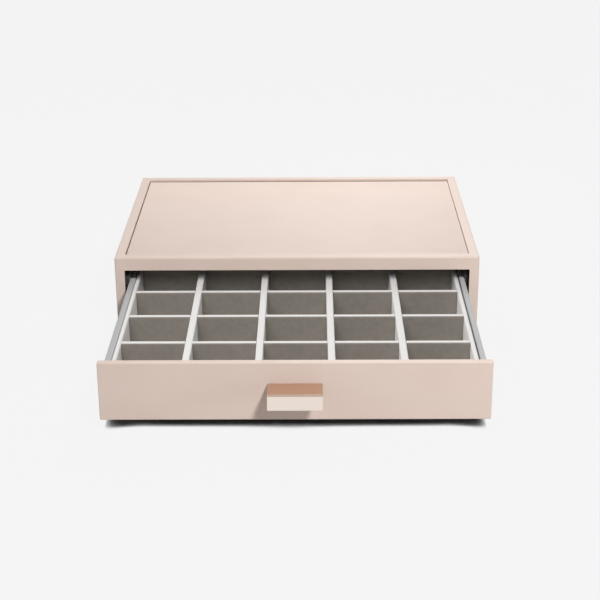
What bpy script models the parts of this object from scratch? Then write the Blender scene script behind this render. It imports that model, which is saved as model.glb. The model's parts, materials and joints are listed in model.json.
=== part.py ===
"""Jewelry drawer: a stackable case with a divided drawer, drawn out to its stops.

Metres, +Z up. The origin is the centre of the case's footprint, on the surface that it stands on.
The drawer comes out towards -Y.
"""

import math

import bmesh
import bpy
from mathutils import Vector

# Clearances
FIT_GAP = 0.0003
FRONT_SIDE_GAP = 0.0020
FRONT_TOP_GAP = 0.0010
REAR_CLEARANCE = 0.0010
STACK_CLEARANCE = 0.0010
CUT_OVERRUN = 0.0020

# Case boards
CASE_WIDTH = 0.3650
CASE_DEPTH = 0.2720
CASE_HEIGHT = 0.0800
SIDE_THICKNESS = 0.0095
RAIL_THICKNESS = 0.0100
RAIL_HEIGHT = 0.0135
BACK_THICKNESS = 0.0060
REAR_RIM_THICKNESS = 0.0100
TOP_PANEL_THICKNESS = 0.0060
TOP_RECESS = 0.0020
BOTTOM_PANEL_THICKNESS = 0.0079
BASE_PAD_THICKNESS = 0.0018
CASE_EDGE_RADIUS = 0.0009

# Runners inside the case
EAR_DROP = 0.0058
EAR_HEIGHT = 0.0180
KICKER_HEIGHT = 0.0090
GLIDE_THICKNESS = 0.0012
GLIDE_WIDTH = 0.0080
RUNNER_EDGE_RADIUS = 0.0003

# Drawer box
DRAWER_ENGAGED_LENGTH = 0.0427
SIDE_SPACE = 0.0040
FRONT_THICKNESS = 0.0070
FRONT_EDGE_RADIUS = 0.0008
RIM_DROP = 0.0114
DRAWER_SIDE_THICKNESS = 0.0054
DRAWER_BACK_THICKNESS = 0.0045
DRAWER_BOTTOM_THICKNESS = 0.0030
GROOVE_DEPTH = 0.0025
GROOVE_LIFT = 0.0030
LINED_EDGE_RADIUS = 0.0010

# Tray with its compartments
COLUMNS = 5
ROWS = 4
TRAY_WALL_THICKNESS = 0.0047
TRAY_BASE_THICKNESS = 0.0020
DIVIDER_THICKNESS = 0.0065
DIVIDER_EDGE_RADIUS = 0.0022

# Bent sheet pull and its screws
PULL_WIDTH = 0.0475
PULL_REACH = 0.0250
PULL_SHEET = 0.0012
PULL_BEND_RADIUS = 0.0002
PULL_LIP_HEIGHT = 0.0145
PULL_FLANGE_HEIGHT = 0.0150
PULL_DROP = 0.0190
SCREW_SPACING = 0.0280
SCREW_RADIUS = 0.0015
SCREW_HEAD_RADIUS = 0.0028
SCREW_HEAD_HEIGHT = 0.0016
SCREW_HEAD_CROWN = 0.0004
SCREW_SOCKET_RADIUS = 0.0011
SCREW_SOCKET_DEPTH = 0.0009

# Facets
EDGE_SEGMENTS = 2
DIVIDER_EDGE_SEGMENTS = 3
BEND_SEGMENTS = 5
SCREW_SEGMENTS = 24
HEX_SIDES = 6
SMOOTH_ANGLE = math.radians(40)
BEVEL_ANGLE = math.radians(35)

# Places in the case
FRONT_PLANE = -CASE_DEPTH / 2
REAR_PLANE = CASE_DEPTH / 2
BAY_REAR = REAR_PLANE - BACK_THICKNESS
BAY_HALF_WIDTH = CASE_WIDTH / 2 - SIDE_THICKNESS
BOARD_BOTTOM = BASE_PAD_THICKNESS + FIT_GAP
BAY_FLOOR = BOARD_BOTTOM + BOTTOM_PANEL_THICKNESS
OPENING_TOP = CASE_HEIGHT - RAIL_HEIGHT
INSIDE_HALF_WIDTH = BAY_HALF_WIDTH - FIT_GAP

# Drawer sizes that follow from the case
DRAWER_DEPTH = BAY_REAR - FRONT_PLANE - REAR_CLEARANCE
DRAWER_TRAVEL = DRAWER_DEPTH - DRAWER_ENGAGED_LENGTH
FRONT_HALF_WIDTH = BAY_HALF_WIDTH - FRONT_SIDE_GAP
FRONT_BOTTOM = BAY_FLOOR + FRONT_TOP_GAP
FRONT_HEIGHT = OPENING_TOP - FRONT_TOP_GAP - FRONT_BOTTOM
LINED_TOP = FRONT_BOTTOM + FRONT_HEIGHT - RIM_DROP
DRAWER_HALF_WIDTH = BAY_HALF_WIDTH - SIDE_SPACE
SIDE_BOTTOM = BAY_FLOOR + FIT_GAP + GLIDE_THICKNESS + FIT_GAP
BOTTOM_BOARD_LOW = SIDE_BOTTOM + GROOVE_LIFT
BOTTOM_BOARD_HIGH = BOTTOM_BOARD_LOW + DRAWER_BOTTOM_THICKNESS

# Runner places: the guide fills the height under the ears, and the kicker lies over them
EAR_HIGH = LINED_TOP - EAR_DROP
EAR_LOW = EAR_HIGH - EAR_HEIGHT
GUIDE_LOW = BAY_FLOOR + FIT_GAP
GUIDE_HIGH = EAR_LOW - FIT_GAP
KICKER_LOW = EAR_HIGH + FIT_GAP
RUNNER_INNER = DRAWER_HALF_WIDTH + FIT_GAP
RUNNER_FRONT = FRONT_PLANE + FRONT_THICKNESS + FIT_GAP
RUNNER_REAR = BAY_REAR - FIT_GAP

# Depths inside the drawer, backwards from its front face
BOX_FRONT = FRONT_THICKNESS + FIT_GAP
BACK_FRONT_FACE = DRAWER_DEPTH - DRAWER_BACK_THICKNESS
BOX_REAR = BACK_FRONT_FACE - FIT_GAP
TRAY_INNER_FRONT = BOX_FRONT + TRAY_WALL_THICKNESS
TRAY_INNER_REAR = BOX_REAR - TRAY_WALL_THICKNESS

# Tray heights and widths
TRAY_HALF_WIDTH = DRAWER_HALF_WIDTH - DRAWER_SIDE_THICKNESS - FIT_GAP
CELLS_HALF_WIDTH = TRAY_HALF_WIDTH - TRAY_WALL_THICKNESS
TRAY_BOTTOM = BOTTOM_BOARD_HIGH + FIT_GAP
DIVIDER_BOTTOM = TRAY_BOTTOM + TRAY_BASE_THICKNESS + FIT_GAP
DIVIDER_MIDDLE = (DIVIDER_BOTTOM + LINED_TOP) / 2
COLUMN_PITCH = (2 * CELLS_HALF_WIDTH + DIVIDER_THICKNESS) / COLUMNS
ROW_PITCH = (TRAY_INNER_REAR - TRAY_INNER_FRONT + DIVIDER_THICKNESS) / ROWS

# Pull and screw heights
PULL_TOP = FRONT_BOTTOM + FRONT_HEIGHT - PULL_DROP
SCREW_LEVEL = PULL_TOP - PULL_SHEET - PULL_FLANGE_HEIGHT / 2
SCREW_HOLE_RADIUS = SCREW_RADIUS + FIT_GAP
COUNTERBORE_RADIUS = SCREW_HEAD_RADIUS + FIT_GAP
COUNTERBORE_DEPTH = SCREW_HEAD_HEIGHT + 2 * FIT_GAP

# Colours, as linear red, green and blue
BLUSH = (0.745, 0.578, 0.491)
WARM_GREY = (0.300, 0.285, 0.270)
PALE_GREY = (0.560, 0.550, 0.535)
CHARCOAL = (0.045, 0.043, 0.041)
ROSE_GOLD = (0.870, 0.610, 0.480)
STEEL = (0.620, 0.610, 0.600)


def clear_scene():
    for old in list(bpy.data.objects):
        bpy.data.objects.remove(old, do_unlink=True)


def finish(name, colour, roughness, metallic=0.0):
    """A material of its own for one object."""
    made = bpy.data.materials.new(name + "_finish")
    made.use_nodes = True
    shader = made.node_tree.nodes["Principled BSDF"]
    shader.inputs["Base Color"].default_value = (*colour, 1.0)
    shader.inputs["Roughness"].default_value = roughness
    shader.inputs["Metallic"].default_value = metallic
    return made


def leatherette(name):
    return finish(name, BLUSH, roughness=0.55)


def pale_suede(name):
    return finish(name, PALE_GREY, roughness=0.90)


def grey_suede(name):
    return finish(name, WARM_GREY, roughness=0.95)


def dark_felt(name):
    return finish(name, CHARCOAL, roughness=0.95)


def polished_rose_gold(name):
    return finish(name, ROSE_GOLD, roughness=0.20, metallic=1.0)


def bright_steel(name):
    return finish(name, STEEL, roughness=0.35, metallic=1.0)


def frame_empty(name, location):
    empty = bpy.data.objects.new(name, None)
    bpy.context.scene.collection.objects.link(empty)
    empty.location = location
    return empty


def add_object(name, mesh, parent, location, material=None):
    placed = bpy.data.objects.new(name, mesh)
    bpy.context.scene.collection.objects.link(placed)
    placed.parent = parent
    placed.location = location
    if material:
        mesh.materials.append(material)
    return placed


def box_mesh(name, size):
    """A box centred on its own origin."""
    mesh = bpy.data.meshes.new(name)
    shape = bmesh.new()
    bmesh.ops.create_cube(shape, size=1.0)
    bmesh.ops.scale(shape, vec=size, verts=shape.verts)
    shape.to_mesh(mesh)
    shape.free()
    return mesh


def smooth(mesh):
    """Shade round stretches smooth and keep corners sharp."""
    mesh.shade_smooth()
    mesh.set_sharp_from_angle(angle=SMOOTH_ANGLE)


def ease_edges(target, radius, wall):
    """Round an object's sharp edges, by a third of its wall at most."""
    easing = target.modifiers.new("eased_edges", "BEVEL")
    easing.width = min(radius, wall / 3)
    easing.segments = EDGE_SEGMENTS
    easing.limit_method = "ANGLE"
    easing.angle_limit = BEVEL_ANGLE


def board(name, low, high, parent, material, radius):
    """A board between two corners, in its parent's axes."""
    low_corner = Vector(low)
    high_corner = Vector(high)
    size = high_corner - low_corner
    mesh = box_mesh(name, size)
    made = add_object(name, mesh, parent, (low_corner + high_corner) / 2, material)
    ease_edges(made, radius, min(size))
    return made


def extruded(name, outline, thickness, axis, parent, location, material=None):
    """A flat outline given a thickness along X or Y, centred on that axis."""
    mesh = bpy.data.meshes.new(name)
    shape = bmesh.new()
    if axis == "X":
        corners = [shape.verts.new((-thickness / 2, a, b)) for a, b in outline]
        step = Vector((thickness, 0, 0))
    else:
        corners = [shape.verts.new((a, -thickness / 2, b)) for a, b in outline]
        step = Vector((0, thickness, 0))
    face = shape.faces.new(corners)
    grown = bmesh.ops.extrude_face_region(shape, geom=[face])
    moved = [item for item in grown["geom"] if isinstance(item, bmesh.types.BMVert)]
    bmesh.ops.translate(shape, verts=moved, vec=step)
    bmesh.ops.recalc_face_normals(shape, faces=shape.faces)
    shape.to_mesh(mesh)
    shape.free()
    smooth(mesh)
    return add_object(name, mesh, parent, location, material)


def turned(name, profile, segments, parent, location, material=None):
    """A solid of revolution about its own Y axis, from (radius, y) points with capped ends."""
    mesh = bpy.data.meshes.new(name)
    shape = bmesh.new()
    rings = []
    for radius, along in profile:
        ring = []
        for index in range(segments):
            angle = math.tau * index / segments
            ring.append(shape.verts.new((radius * math.cos(angle), along, radius * math.sin(angle))))
        rings.append(ring)
    for first, second in zip(rings, rings[1:]):
        for index in range(segments):
            after = (index + 1) % segments
            shape.faces.new((first[index], first[after], second[after], second[index]))
    shape.faces.new(rings[0])
    shape.faces.new(rings[-1])
    bmesh.ops.recalc_face_normals(shape, faces=shape.faces)
    shape.to_mesh(mesh)
    shape.free()
    smooth(mesh)
    return add_object(name, mesh, parent, location, material)


def cut(target, cutter):
    """Take the cutter's shape out of the target and hide the cutter."""
    cutter.hide_render = True
    cutter.display_type = "WIRE"
    cutter.hide_set(True)
    taking = target.modifiers.new(cutter.name, "BOOLEAN")
    taking.operation = "DIFFERENCE"
    taking.solver = "EXACT"
    taking.object = cutter


def box_cutter(name, boxes, parent):
    """One cutter object made of several separate boxes."""
    mesh = bpy.data.meshes.new(name)
    shape = bmesh.new()
    for low, high in boxes:
        low_corner = Vector(low)
        high_corner = Vector(high)
        cube = bmesh.ops.create_cube(shape, size=1.0)
        bmesh.ops.scale(shape, vec=high_corner - low_corner, verts=cube["verts"])
        bmesh.ops.translate(shape, vec=(low_corner + high_corner) / 2, verts=cube["verts"])
    shape.to_mesh(mesh)
    shape.free()
    return add_object(name, mesh, parent, (0, 0, 0))


def case_sides(case):
    for name, sign in (("left_side", -1), ("right_side", 1)):
        edges = sorted((sign * BAY_HALF_WIDTH, sign * CASE_WIDTH / 2))
        low = (edges[0], FRONT_PLANE, BOARD_BOTTOM)
        high = (edges[1], REAR_PLANE, CASE_HEIGHT)
        board(name, low, high, case, leatherette(name), CASE_EDGE_RADIUS)


def case_top_rail(case):
    low = (-INSIDE_HALF_WIDTH, FRONT_PLANE, OPENING_TOP)
    high = (INSIDE_HALF_WIDTH, FRONT_PLANE + RAIL_THICKNESS, CASE_HEIGHT)
    board("top_rail", low, high, case, leatherette("top_rail"), CASE_EDGE_RADIUS)


def case_back(case):
    """The back panel is thicker along its top, where it makes the rear rim."""
    outline = (
        (REAR_PLANE, BOARD_BOTTOM),
        (REAR_PLANE, CASE_HEIGHT),
        (REAR_PLANE - REAR_RIM_THICKNESS, CASE_HEIGHT),
        (REAR_PLANE - REAR_RIM_THICKNESS, OPENING_TOP),
        (BAY_REAR, OPENING_TOP),
        (BAY_REAR, BOARD_BOTTOM),
    )
    name = "back_panel"
    panel = extruded(name, outline, 2 * INSIDE_HALF_WIDTH, "X", case, (0, 0, 0), leatherette(name))
    ease_edges(panel, CASE_EDGE_RADIUS, BACK_THICKNESS)


def case_top_panel(case):
    panel_top = CASE_HEIGHT - TOP_RECESS
    front = FRONT_PLANE + RAIL_THICKNESS + FIT_GAP
    rear = REAR_PLANE - REAR_RIM_THICKNESS - FIT_GAP
    low = (-INSIDE_HALF_WIDTH, front, panel_top - TOP_PANEL_THICKNESS)
    high = (INSIDE_HALF_WIDTH, rear, panel_top)
    board("top_panel", low, high, case, leatherette("top_panel"), RUNNER_EDGE_RADIUS)


def case_bottom(case):
    low = (-INSIDE_HALF_WIDTH, FRONT_PLANE, BOARD_BOTTOM)
    high = (INSIDE_HALF_WIDTH, BAY_REAR - FIT_GAP, BAY_FLOOR)
    board("bottom_panel", low, high, case, leatherette("bottom_panel"), CASE_EDGE_RADIUS)


def case_base_pad(case):
    """The pad is as large as the recess in the top, less the clearance for stacking."""
    half_width = BAY_HALF_WIDTH - STACK_CLEARANCE
    front = FRONT_PLANE + RAIL_THICKNESS + STACK_CLEARANCE
    rear = REAR_PLANE - REAR_RIM_THICKNESS - STACK_CLEARANCE
    low = (-half_width, front, 0)
    high = (half_width, rear, BASE_PAD_THICKNESS)
    board("base_pad", low, high, case, dark_felt("base_pad"), RUNNER_EDGE_RADIUS)


def case_runners(case):
    """Guide, kicker, stop block and glide on each side of the bay."""
    ear_front = FRONT_PLANE - DRAWER_TRAVEL + BACK_FRONT_FACE
    stop_rear = ear_front - FIT_GAP
    kicker_high = KICKER_LOW + KICKER_HEIGHT
    for side, sign in (("left", -1), ("right", 1)):
        inner, outer = sorted((sign * RUNNER_INNER, sign * INSIDE_HALF_WIDTH))
        strips = (
            (side + "_guide", RUNNER_REAR, GUIDE_LOW, GUIDE_HIGH),
            (side + "_kicker", RUNNER_REAR, KICKER_LOW, kicker_high),
            (side + "_stop_block", stop_rear, EAR_LOW, EAR_HIGH),
        )
        for name, rear, bottom, top in strips:
            low = (inner, RUNNER_FRONT, bottom)
            high = (outer, rear, top)
            board(name, low, high, case, dark_felt(name), RUNNER_EDGE_RADIUS)
        glide_edges = sorted((sign * DRAWER_HALF_WIDTH, sign * (DRAWER_HALF_WIDTH - GLIDE_WIDTH)))
        name = side + "_glide"
        low = (glide_edges[0], RUNNER_FRONT, GUIDE_LOW)
        high = (glide_edges[1], RUNNER_REAR, GUIDE_LOW + GLIDE_THICKNESS)
        board(name, low, high, case, dark_felt(name), RUNNER_EDGE_RADIUS)


def drawer_front(drawer):
    """The front board, grooved for the bottom and bored for the screws of the pull."""
    name = "drawer_front"
    low = (-FRONT_HALF_WIDTH, 0, FRONT_BOTTOM)
    high = (FRONT_HALF_WIDTH, FRONT_THICKNESS, FRONT_BOTTOM + FRONT_HEIGHT)
    front = board(name, low, high, drawer, leatherette(name), FRONT_EDGE_RADIUS)
    groove_low = (
        -TRAY_HALF_WIDTH - GROOVE_DEPTH,
        FRONT_THICKNESS - GROOVE_DEPTH,
        BOTTOM_BOARD_LOW - FIT_GAP,
    )
    groove_high = (
        TRAY_HALF_WIDTH + GROOVE_DEPTH,
        FRONT_THICKNESS + CUT_OVERRUN,
        BOTTOM_BOARD_HIGH + FIT_GAP,
    )
    cut(front, box_cutter("front_groove_cut", [(groove_low, groove_high)], drawer))
    for side, sign in (("left", -1), ("right", 1)):
        stepped = (
            (SCREW_HOLE_RADIUS, -CUT_OVERRUN),
            (SCREW_HOLE_RADIUS, FRONT_THICKNESS - COUNTERBORE_DEPTH),
            (COUNTERBORE_RADIUS, FRONT_THICKNESS - COUNTERBORE_DEPTH),
            (COUNTERBORE_RADIUS, FRONT_THICKNESS + CUT_OVERRUN),
        )
        place = (sign * SCREW_SPACING / 2, 0, SCREW_LEVEL)
        cut(front, turned(side + "_bore_cut", stepped, SCREW_SEGMENTS, drawer, place))


def drawer_sides(drawer):
    for side, sign in (("left", -1), ("right", 1)):
        name = side + "_drawer_side"
        inner = DRAWER_HALF_WIDTH - DRAWER_SIDE_THICKNESS
        edges = sorted((sign * inner, sign * DRAWER_HALF_WIDTH))
        low = (edges[0], BOX_FRONT, SIDE_BOTTOM)
        high = (edges[1], BOX_REAR, LINED_TOP)
        made = board(name, low, high, drawer, grey_suede(name), LINED_EDGE_RADIUS)
        groove_edges = sorted((sign * (inner - CUT_OVERRUN), sign * (inner + GROOVE_DEPTH)))
        groove_low = (groove_edges[0], BOX_FRONT - CUT_OVERRUN, BOTTOM_BOARD_LOW - FIT_GAP)
        groove_high = (groove_edges[1], BOX_REAR + CUT_OVERRUN, BOTTOM_BOARD_HIGH + FIT_GAP)
        cut(made, box_cutter(side + "_groove_cut", [(groove_low, groove_high)], drawer))


def drawer_back(drawer):
    """The back closes the box, and its ears run between the guides and the kickers."""
    name = "drawer_back"
    ear_edge = INSIDE_HALF_WIDTH - FIT_GAP
    right_half = (
        (DRAWER_HALF_WIDTH, SIDE_BOTTOM),
        (DRAWER_HALF_WIDTH, EAR_LOW),
        (ear_edge, EAR_LOW),
        (ear_edge, EAR_HIGH),
        (DRAWER_HALF_WIDTH, EAR_HIGH),
        (DRAWER_HALF_WIDTH, LINED_TOP),
    )
    left_half = tuple((-across, up) for across, up in reversed(right_half))
    place = (0, BACK_FRONT_FACE + DRAWER_BACK_THICKNESS / 2, 0)
    outline = right_half + left_half
    made = extruded(name, outline, DRAWER_BACK_THICKNESS, "Y", drawer, place, grey_suede(name))
    ease_edges(made, RUNNER_EDGE_RADIUS, DRAWER_BACK_THICKNESS)


def drawer_bottom(drawer):
    """The bottom reaches into the grooves of the front and the sides, up to the back."""
    half_width = DRAWER_HALF_WIDTH - DRAWER_SIDE_THICKNESS + GROOVE_DEPTH - FIT_GAP
    low = (-half_width, FRONT_THICKNESS - GROOVE_DEPTH + FIT_GAP, BOTTOM_BOARD_LOW)
    high = (half_width, BOX_REAR, BOTTOM_BOARD_HIGH)
    name = "drawer_bottom"
    board(name, low, high, drawer, grey_suede(name), RUNNER_EDGE_RADIUS)


def bent_strip(corners, thickness, inner_radius):
    """The outline of a strip that follows (y, z) corners, with round bends between them."""
    centre_radius = inner_radius + thickness / 2
    path = [(Vector(corners[0]), (Vector(corners[1]) - Vector(corners[0])).normalized())]
    for before, here, after in zip(corners, corners[1:], corners[2:]):
        incoming = (Vector(here) - Vector(before)).normalized()
        outgoing = (Vector(after) - Vector(here)).normalized()
        turn = incoming.x * outgoing.y - incoming.y * outgoing.x
        side = Vector((-incoming.y, incoming.x)) * math.copysign(1, turn)
        start = Vector(here) - incoming * centre_radius
        centre = start + side * centre_radius
        for step in range(BEND_SEGMENTS + 1):
            angle = math.pi / 2 * step / BEND_SEGMENTS
            spoke = incoming * math.sin(angle) - side * math.cos(angle)
            along = incoming * math.cos(angle) + side * math.sin(angle)
            path.append((centre + spoke * centre_radius, along))
    path.append((Vector(corners[-1]), (Vector(corners[-1]) - Vector(corners[-2])).normalized()))
    left = [point + Vector((-along.y, along.x)) * thickness / 2 for point, along in path]
    right = [point - Vector((-along.y, along.x)) * thickness / 2 for point, along in path]
    return [tuple(point) for point in left + right[::-1]]


def pull_handle(drawer):
    """A bent sheet: flange on the front board, plate towards the hand, lip turned down."""
    name = "handle"
    half_sheet = PULL_SHEET / 2
    flange_y = -FIT_GAP - half_sheet
    lip_y = -PULL_REACH + half_sheet
    plate_z = PULL_TOP - half_sheet
    corners = (
        (flange_y, PULL_TOP - PULL_SHEET - PULL_FLANGE_HEIGHT),
        (flange_y, plate_z),
        (lip_y, plate_z),
        (lip_y, PULL_TOP - PULL_LIP_HEIGHT),
    )
    outline = bent_strip(corners, PULL_SHEET, PULL_BEND_RADIUS)
    finish_used = polished_rose_gold(name)
    pull = extruded(name, outline, PULL_WIDTH, "X", drawer, (0, 0, 0), finish_used)
    ease_edges(pull, RUNNER_EDGE_RADIUS, PULL_SHEET)
    for side, sign in (("left", -1), ("right", 1)):
        hole = (
            (SCREW_HOLE_RADIUS, -FIT_GAP - PULL_SHEET - CUT_OVERRUN),
            (SCREW_HOLE_RADIUS, CUT_OVERRUN),
        )
        place = (sign * SCREW_SPACING / 2, 0, SCREW_LEVEL)
        cut(pull, turned(side + "_flange_hole_cut", hole, SCREW_SEGMENTS, drawer, place))


def pull_screws(drawer):
    """Screws from inside the drawer, their heads sunk in the front board."""
    head_seat = FRONT_THICKNESS - COUNTERBORE_DEPTH + FIT_GAP
    crown_start = head_seat + SCREW_HEAD_HEIGHT - SCREW_HEAD_CROWN
    for side, sign in (("left", -1), ("right", 1)):
        name = "handle_screw_" + side
        profile = (
            (SCREW_RADIUS, -FIT_GAP - PULL_SHEET),
            (SCREW_RADIUS, head_seat),
            (SCREW_HEAD_RADIUS, head_seat),
            (SCREW_HEAD_RADIUS, crown_start),
            (SCREW_HEAD_RADIUS - SCREW_HEAD_CROWN, crown_start + SCREW_HEAD_CROWN),
        )
        place = (sign * SCREW_SPACING / 2, 0, SCREW_LEVEL)
        screw = turned(name, profile, SCREW_SEGMENTS, drawer, place, bright_steel(name))
        head_top = crown_start + SCREW_HEAD_CROWN
        socket = (
            (SCREW_SOCKET_RADIUS, head_top - SCREW_SOCKET_DEPTH),
            (SCREW_SOCKET_RADIUS, head_top + CUT_OVERRUN),
        )
        cut(screw, turned(side + "_socket_cut", socket, HEX_SIDES, drawer, place))


def tray_walls(drawer):
    """Base and four walls of the tray that drops into the drawer."""
    base_high = TRAY_BOTTOM + TRAY_BASE_THICKNESS
    wall_low = base_high + FIT_GAP
    end_half_width = CELLS_HALF_WIDTH - FIT_GAP
    pieces = (
        ("tray_front_wall", (-end_half_width, BOX_FRONT), (end_half_width, TRAY_INNER_FRONT)),
        ("tray_rear_wall", (-end_half_width, TRAY_INNER_REAR), (end_half_width, BOX_REAR)),
        ("tray_left_wall", (-TRAY_HALF_WIDTH, BOX_FRONT), (-CELLS_HALF_WIDTH, BOX_REAR)),
        ("tray_right_wall", (CELLS_HALF_WIDTH, BOX_FRONT), (TRAY_HALF_WIDTH, BOX_REAR)),
    )
    for name, near, far in pieces:
        low = (*near, wall_low)
        high = (*far, LINED_TOP)
        board(name, low, high, drawer, pale_suede(name), LINED_EDGE_RADIUS)
    base_low = (-TRAY_HALF_WIDTH, BOX_FRONT, TRAY_BOTTOM)
    base_top = (TRAY_HALF_WIDTH, BOX_REAR, base_high)
    board("tray_base", base_low, base_top, drawer, grey_suede("tray_base"), RUNNER_EDGE_RADIUS)


def divider_places(count, pitch):
    """Centres of the dividers between that many cells, from the middle of the tray."""
    return [pitch * (index + 1 - count / 2) for index in range(count - 1)]


def divider_board(name, low, high, drawer):
    """A covered board, round along its top edges only."""
    made = board(name, low, high, drawer, pale_suede(name), DIVIDER_EDGE_RADIUS)
    easing = made.modifiers["eased_edges"]
    easing.segments = DIVIDER_EDGE_SEGMENTS
    easing.limit_method = "WEIGHT"
    weights = made.data.attributes.new("bevel_weight_edge", "FLOAT", "EDGE")
    top = max(vertex.co.z for vertex in made.data.vertices)
    along_y = (high[1] - low[1]) > (high[0] - low[0])
    for edge in made.data.edges:
        first, second = (made.data.vertices[index].co for index in edge.vertices)
        spans_length = first.y != second.y if along_y else first.x != second.x
        if spans_length and first.z == second.z == top:
            weights.data[edge.index].value = 1.0
    return made


def dividers(drawer):
    """Long dividers slotted from below, halved over cross dividers slotted from above."""
    tray_middle = (TRAY_INNER_FRONT + TRAY_INNER_REAR) / 2
    columns = divider_places(COLUMNS, COLUMN_PITCH)
    rows = [tray_middle + place for place in divider_places(ROWS, ROW_PITCH)]
    half = DIVIDER_THICKNESS / 2
    slot_half = half + FIT_GAP
    for number, across in enumerate(columns, 1):
        name = "long_divider_%d" % number
        low = (across - half, TRAY_INNER_FRONT + FIT_GAP, DIVIDER_BOTTOM)
        high = (across + half, TRAY_INNER_REAR - FIT_GAP, LINED_TOP)
        made = divider_board(name, low, high, drawer)
        slots = []
        for depth in rows:
            slot_low = (across - half - CUT_OVERRUN, depth - slot_half, DIVIDER_BOTTOM - CUT_OVERRUN)
            slot_high = (across + half + CUT_OVERRUN, depth + slot_half, DIVIDER_MIDDLE + FIT_GAP / 2)
            slots.append((slot_low, slot_high))
        cut(made, box_cutter("long_slots_%d_cut" % number, slots, drawer))
    for number, depth in enumerate(rows, 1):
        name = "cross_divider_%d" % number
        low = (-CELLS_HALF_WIDTH + FIT_GAP, depth - half, DIVIDER_BOTTOM)
        high = (CELLS_HALF_WIDTH - FIT_GAP, depth + half, LINED_TOP)
        made = divider_board(name, low, high, drawer)
        slots = []
        for across in columns:
            slot_low = (across - slot_half, depth - half - CUT_OVERRUN, DIVIDER_MIDDLE - FIT_GAP / 2)
            slot_high = (across + slot_half, depth + half + CUT_OVERRUN, LINED_TOP + CUT_OVERRUN)
            slots.append((slot_low, slot_high))
        cut(made, box_cutter("cross_slots_%d_cut" % number, slots, drawer))


def build():
    clear_scene()
    case = frame_empty("case_frame", (0, 0, 0))
    case_sides(case)
    case_top_rail(case)
    case_back(case)
    case_top_panel(case)
    case_bottom(case)
    case_base_pad(case)
    case_runners(case)
    drawer = frame_empty("drawer_frame", (0, FRONT_PLANE - DRAWER_TRAVEL, 0))
    drawer_front(drawer)
    drawer_sides(drawer)
    drawer_back(drawer)
    drawer_bottom(drawer)
    pull_handle(drawer)
    pull_screws(drawer)
    tray_walls(drawer)
    dividers(drawer)
    bpy.context.view_layer.update()


build()
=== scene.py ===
"""The jewelry drawer in its finishes: wrapped boards, a suede tray and a rose gold pull.

Metres, +Z up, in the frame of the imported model. The drawer comes out towards -Y.
"""

import json
import math

import bmesh
import bpy
from mathutils import Matrix, Vector

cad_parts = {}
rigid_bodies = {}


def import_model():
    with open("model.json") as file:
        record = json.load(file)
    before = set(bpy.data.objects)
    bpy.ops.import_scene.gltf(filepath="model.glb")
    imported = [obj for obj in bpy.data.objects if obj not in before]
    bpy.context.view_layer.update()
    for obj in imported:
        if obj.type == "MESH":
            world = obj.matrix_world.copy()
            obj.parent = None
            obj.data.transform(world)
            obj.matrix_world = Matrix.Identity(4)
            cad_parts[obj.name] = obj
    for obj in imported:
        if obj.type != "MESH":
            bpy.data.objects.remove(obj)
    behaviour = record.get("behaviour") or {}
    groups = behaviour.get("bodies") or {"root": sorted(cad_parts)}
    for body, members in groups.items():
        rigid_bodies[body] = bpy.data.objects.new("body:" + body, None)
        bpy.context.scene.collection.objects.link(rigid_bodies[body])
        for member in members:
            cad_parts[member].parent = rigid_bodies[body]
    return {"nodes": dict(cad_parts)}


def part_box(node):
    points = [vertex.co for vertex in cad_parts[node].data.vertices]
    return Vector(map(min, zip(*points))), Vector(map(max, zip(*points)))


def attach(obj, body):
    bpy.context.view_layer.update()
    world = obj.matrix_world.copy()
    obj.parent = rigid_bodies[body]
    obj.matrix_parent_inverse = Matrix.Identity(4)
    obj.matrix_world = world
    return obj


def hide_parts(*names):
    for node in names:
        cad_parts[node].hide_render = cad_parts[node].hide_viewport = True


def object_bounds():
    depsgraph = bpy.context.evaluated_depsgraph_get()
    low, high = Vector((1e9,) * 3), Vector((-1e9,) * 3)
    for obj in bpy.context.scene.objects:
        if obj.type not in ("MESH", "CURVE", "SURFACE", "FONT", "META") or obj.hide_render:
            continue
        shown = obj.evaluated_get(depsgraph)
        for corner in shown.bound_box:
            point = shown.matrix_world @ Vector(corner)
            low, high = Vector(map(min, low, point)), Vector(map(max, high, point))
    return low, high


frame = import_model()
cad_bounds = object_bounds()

X, Y, Z = range(3)

# Joints between boards, and how far a cut runs past what it cuts
JOINT_GAP = 0.0003
OVERRUN = 0.0020

# Corners closer than this are merged, and what is this close to a place counts as being there
MERGE_DISTANCE = 0.000005
SAME_PLACE = 0.0001

# The gaps beside and behind the board that is let into the top, which sits tight to the right
RECESS_GAP_LEFT = 0.0002
RECESS_GAP_REAR = 0.0016

# Rounding of covered edges
CASE_EDGE = 0.0016
OPENING_EDGE = 0.0007
PANEL_EDGE = 0.0009
PANEL_TIGHT_EDGE = 0.0003
FRONT_EDGE = 0.0009
SIDE_TOP_EDGE = 0.0014
TRAY_WALL_EDGE = 0.0018
LONG_DIVIDER_EDGE = 0.0013
CROSS_DIVIDER_EDGE = 0.0016
ROUND_SEGMENTS = 6
FINE_SEGMENTS = 4

# Edges between faces that meet at more than this stay sharp
SMOOTH_ANGLE = math.radians(40)

# Mitre seams of the covering at the rear corners of the rim
SEAM_WIDTH = 0.00025
SEAM_DEPTH = 0.00045

# Bent sheet pull
PULL_SHEET = 0.0012
PULL_LIP = 0.0145
PULL_BEND = 0.0008
PULL_BEND_SEGMENTS = 8
PULL_EDGE = 0.0002
PULL_EDGE_SEGMENTS = 3

# Bores in the drawer front and the flange of the pull
SCREW_HOLE = 0.0018
COUNTERBORE = 0.0031
COUNTERBORE_DEPTH = 0.0022
BORE_SIDES = 48

# Slots where the dividers cross, and how far the covering of the tray stands back from its sides
SLOT_GAP = 0.00025
TRAY_GAP = 0.0006

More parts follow.
